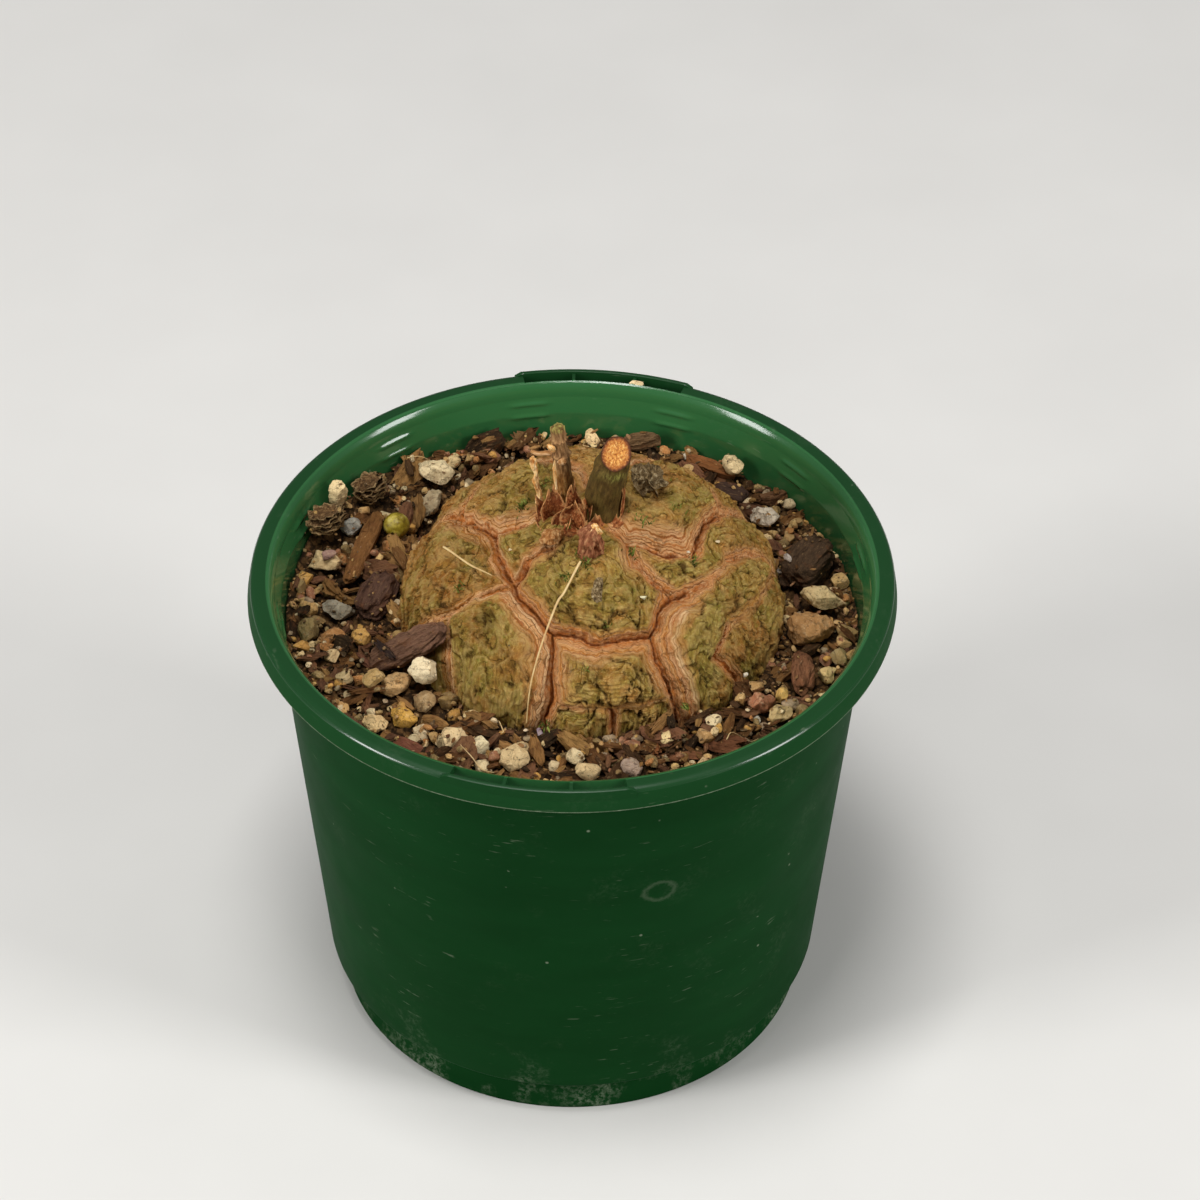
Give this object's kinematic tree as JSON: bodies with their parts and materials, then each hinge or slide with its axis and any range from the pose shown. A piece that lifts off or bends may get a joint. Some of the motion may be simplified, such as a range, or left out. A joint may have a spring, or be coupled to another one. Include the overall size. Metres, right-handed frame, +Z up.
{
  "type": "potted caudex plant",
  "caption": "Dormant dioscorea with a domed, fissured, plated caudex and cut stem stubs, bedded in bark and gravel in a round moulded nursery pot.",
  "frame": {"origin": "on the pot's axis, at the level of its foot", "axes": "+Z up along the pot's axis; -Y towards the front, where the label slot under the caudex's front plate is; +X to the right seen from the front"},
  "size_m": [0.14, 0.14, 0.148],
  "materials": {
    "bark_flake_rear": "rough",
    "bark_flat_dark": "rough",
    "bark_long_purple": "rough",
    "bark_nugget_dark": "rough",
    "bark_red_front": "rough",
    "bark_red_right": "rough",
    "bark_root_like": "rough",
    "bark_split_chunk": "rough",
    "bract_left": "dry",
    "bract_middle": "dry",
    "bract_right": "dry",
    "broken_knob": "rough",
    "caudex": "rough",
    "cone_scales_left": "rough",
    "cone_scales_right": "rough",
    "dried_debris": "rough",
    "grass_blade_long": "dry",
    "grass_blade_short": "dry",
    "lilac_chip": "rough",
    "main_stem_stub": "rough",
    "pot": "satin",
    "potting_mix": "rough",
    "prill": "smooth",
    "short_stem_stub": "rough",
    "split_stem_sliver": "rough",
    "stick_brown": "rough",
    "stone_brown_round": "rough",
    "stone_cream_cube": "rough",
    "stone_cream_flat": "rough",
    "stone_cream_front": "rough",
    "stone_cream_long": "rough",
    "stone_cream_oval": "rough",
    "stone_cream_rear": "rough",
    "stone_cream_right": "rough",
    "stone_cream_tan_flat": "rough",
    "stone_front_pair_a": "rough",
    "stone_front_pair_b": "rough",
    "stone_grey_angular": "rough",
    "stone_grey_mauve": "rough",
    "stone_grey_rear": "rough",
    "stone_mauve_wedge": "rough",
    "stone_oblong_grey_cream": "rough",
    "stone_ochre": "rough",
    "stone_olive": "rough",
    "stone_olive_cream": "rough",
    "stone_olive_right": "rough",
    "stone_orange_left": "rough",
    "stone_orange_round": "rough",
    "stone_pale_chunk": "rough",
    "stone_pale_small": "rough",
    "stone_pink": "rough",
    "stone_rough_brown": "rough",
    "stone_tan_wedge": "rough",
    "stone_upright_cream": "rough",
    "stone_yellow": "rough",
    "thick_cut_stub": "rough"
  },
  "bodies": {
    "root": {"bark_flake_rear": "bark_flake_rear", "bark_flat_dark": "bark_flat_dark", "bark_long_purple": "bark_long_purple", "bark_nugget_dark": "bark_nugget_dark", "bark_red_front": "bark_red_front", "bark_red_right": "bark_red_right", "bark_root_like": "bark_root_like", "bark_split_chunk": "bark_split_chunk", "bract_left": "bract_left", "bract_middle": "bract_middle", "bract_right": "bract_right", "broken_knob": "broken_knob", "caudex": "caudex", "cone_scales_left": "cone_scales_left", "cone_scales_right": "cone_scales_right", "dried_debris": "dried_debris", "grass_blade_long": "grass_blade_long", "grass_blade_short": "grass_blade_short", "lilac_chip": "lilac_chip", "main_stem_stub": "main_stem_stub", "pot": "pot", "potting_mix": "potting_mix", "prill": "prill", "short_stem_stub": "short_stem_stub", "split_stem_sliver": "split_stem_sliver", "stick_brown": "stick_brown", "stone_brown_round": "stone_brown_round", "stone_cream_cube": "stone_cream_cube", "stone_cream_flat": "stone_cream_flat", "stone_cream_front": "stone_cream_front", "stone_cream_long": "stone_cream_long", "stone_cream_oval": "stone_cream_oval", "stone_cream_rear": "stone_cream_rear", "stone_cream_right": "stone_cream_right", "stone_cream_tan_flat": "stone_cream_tan_flat", "stone_front_pair_a": "stone_front_pair_a", "stone_front_pair_b": "stone_front_pair_b", "stone_grey_angular": "stone_grey_angular", "stone_grey_mauve": "stone_grey_mauve", "stone_grey_rear": "stone_grey_rear", "stone_mauve_wedge": "stone_mauve_wedge", "stone_oblong_grey_cream": "stone_oblong_grey_cream", "stone_ochre": "stone_ochre", "stone_olive": "stone_olive", "stone_olive_cream": "stone_olive_cream", "stone_olive_right": "stone_olive_right", "stone_orange_left": "stone_orange_left", "stone_orange_round": "stone_orange_round", "stone_pale_chunk": "stone_pale_chunk", "stone_pale_small": "stone_pale_small", "stone_pink": "stone_pink", "stone_rough_brown": "stone_rough_brown", "stone_tan_wedge": "stone_tan_wedge", "stone_upright_cream": "stone_upright_cream", "stone_yellow": "stone_yellow", "thick_cut_stub": "thick_cut_stub"}
  },
  "joints": []
}
